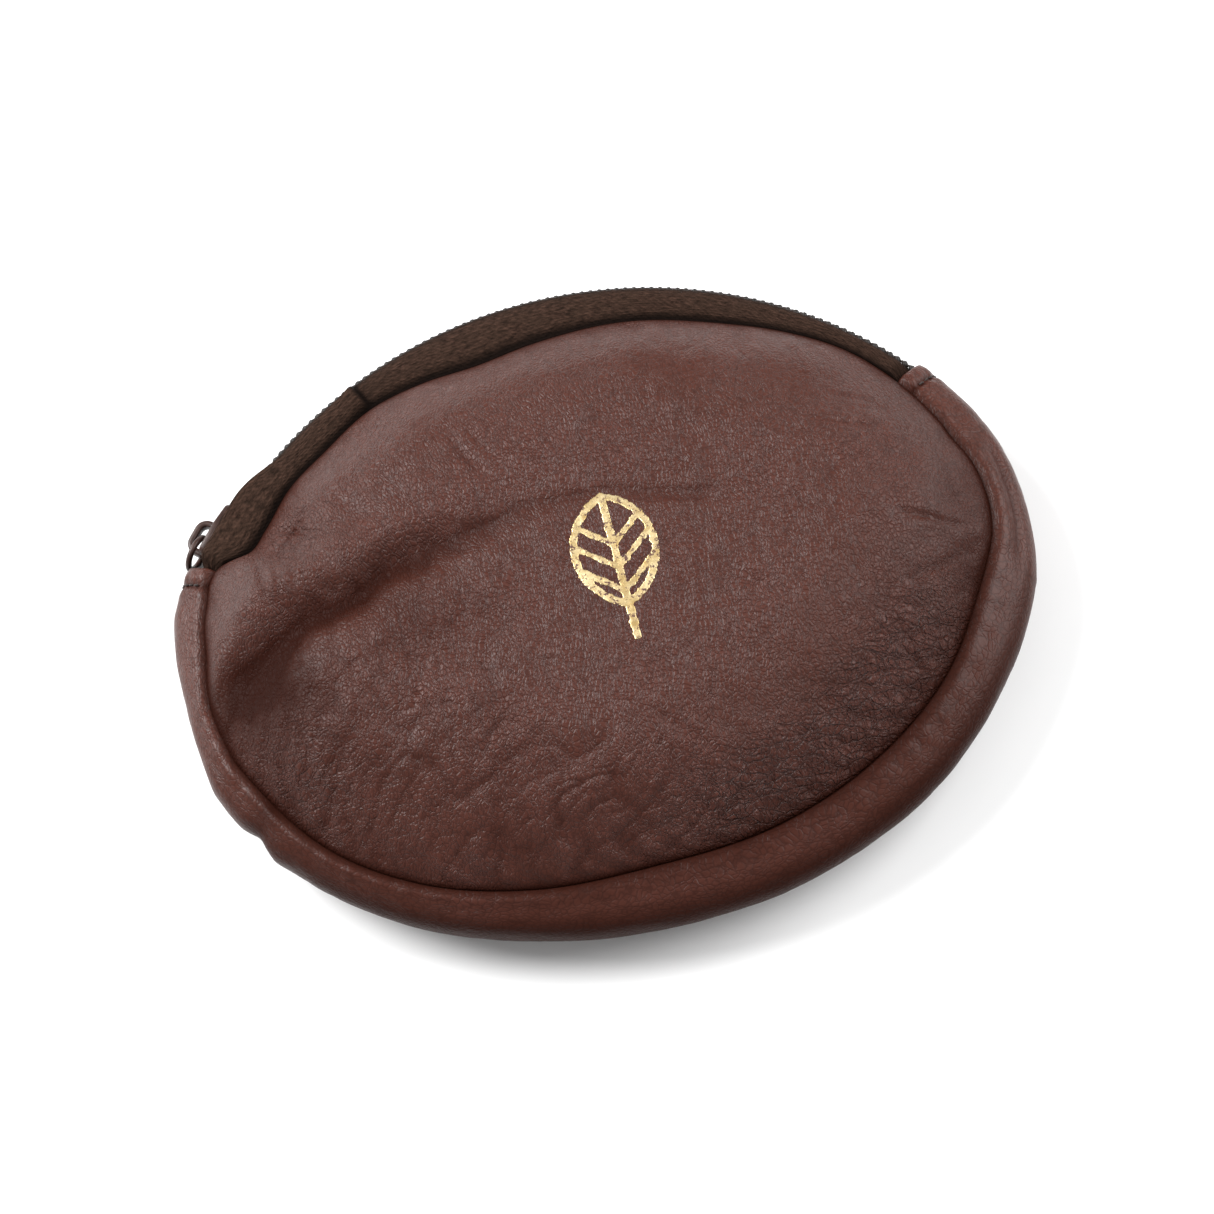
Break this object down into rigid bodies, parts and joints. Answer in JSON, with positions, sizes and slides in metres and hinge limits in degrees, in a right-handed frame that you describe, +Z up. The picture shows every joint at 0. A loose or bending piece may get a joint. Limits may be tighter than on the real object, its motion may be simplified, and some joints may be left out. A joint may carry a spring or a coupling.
{
  "type": "zippered pouch",
  "caption": "Oval zippered pouch in dark brown leather with a puffed front panel, a leather gusset and a coil zip along the top edge.",
  "frame": {"origin": "the resting face of the back panel, below the middle of the oval", "axes": "+Z up through the front panel, +X along the width, +Y towards the zip"},
  "size_m": [0.114, 0.0882, 0.0219],
  "materials": {
    "panel_leather": "worn satin",
    "gusset_leather": "worn satin",
    "tape_cloth": "woven",
    "coil_nylon": "satin",
    "cord_cotton": "matte",
    "dark_thread": "matte",
    "slider_enamel": "satin",
    "gold_foil": "worn"
  },
  "bodies": {
    "root": {"back_panel": "panel_leather", "front_panel": "panel_leather", "gusset_strip": "gusset_leather", "zip_tape_back": "tape_cloth", "zip_coil_back": "coil_nylon", "filler_cord_back": "cord_cotton", "coil_stitching_back": "dark_thread", "hem_stitches_left": "dark_thread", "hem_stitches_right": "dark_thread", "back_seam_thread": "dark_thread", "front_seam_thread": "dark_thread", "gold_stamp": "gold_foil"},
    "mouth_front": {"front_panel_mouth": "panel_leather", "zip_tape_front": "tape_cloth", "zip_coil_front": "coil_nylon", "filler_cord_front": "cord_cotton", "coil_stitching_front": "dark_thread", "front_seam_thread_mouth": "dark_thread"},
    "slider": {"slider_body": "slider_enamel"},
    "pull": {"pull_tab": "slider_enamel"}
  },
  "joints": [
    {"name": "slider_travel", "type": "hinge", "parent": "root", "child": "slider", "pos_m": [0, -0.016, 0.0082], "axis": [0, 0, -1], "range_deg": [0, 98]},
    {"name": "mouth_open", "type": "hinge", "parent": "root", "child": "mouth_front", "pos_m": [0, 0.022, 0.0218], "axis": [1, 0, 0], "range_deg": [0, 30], "deforming": ["zip_tape_front", "zip_coil_front", "filler_cord_front", "coil_stitching_front"]},
    {"name": "pull_swing", "type": "hinge", "parent": "slider", "child": "pull", "pos_m": [-0.04787, 0.02247, 0.0082], "axis": [0, 0, -1], "range_deg": [0, 165]}
  ],
  "couplings": [
    {"joint": "mouth_open", "follows": "slider_travel", "ratio": 0.3}
  ]
}
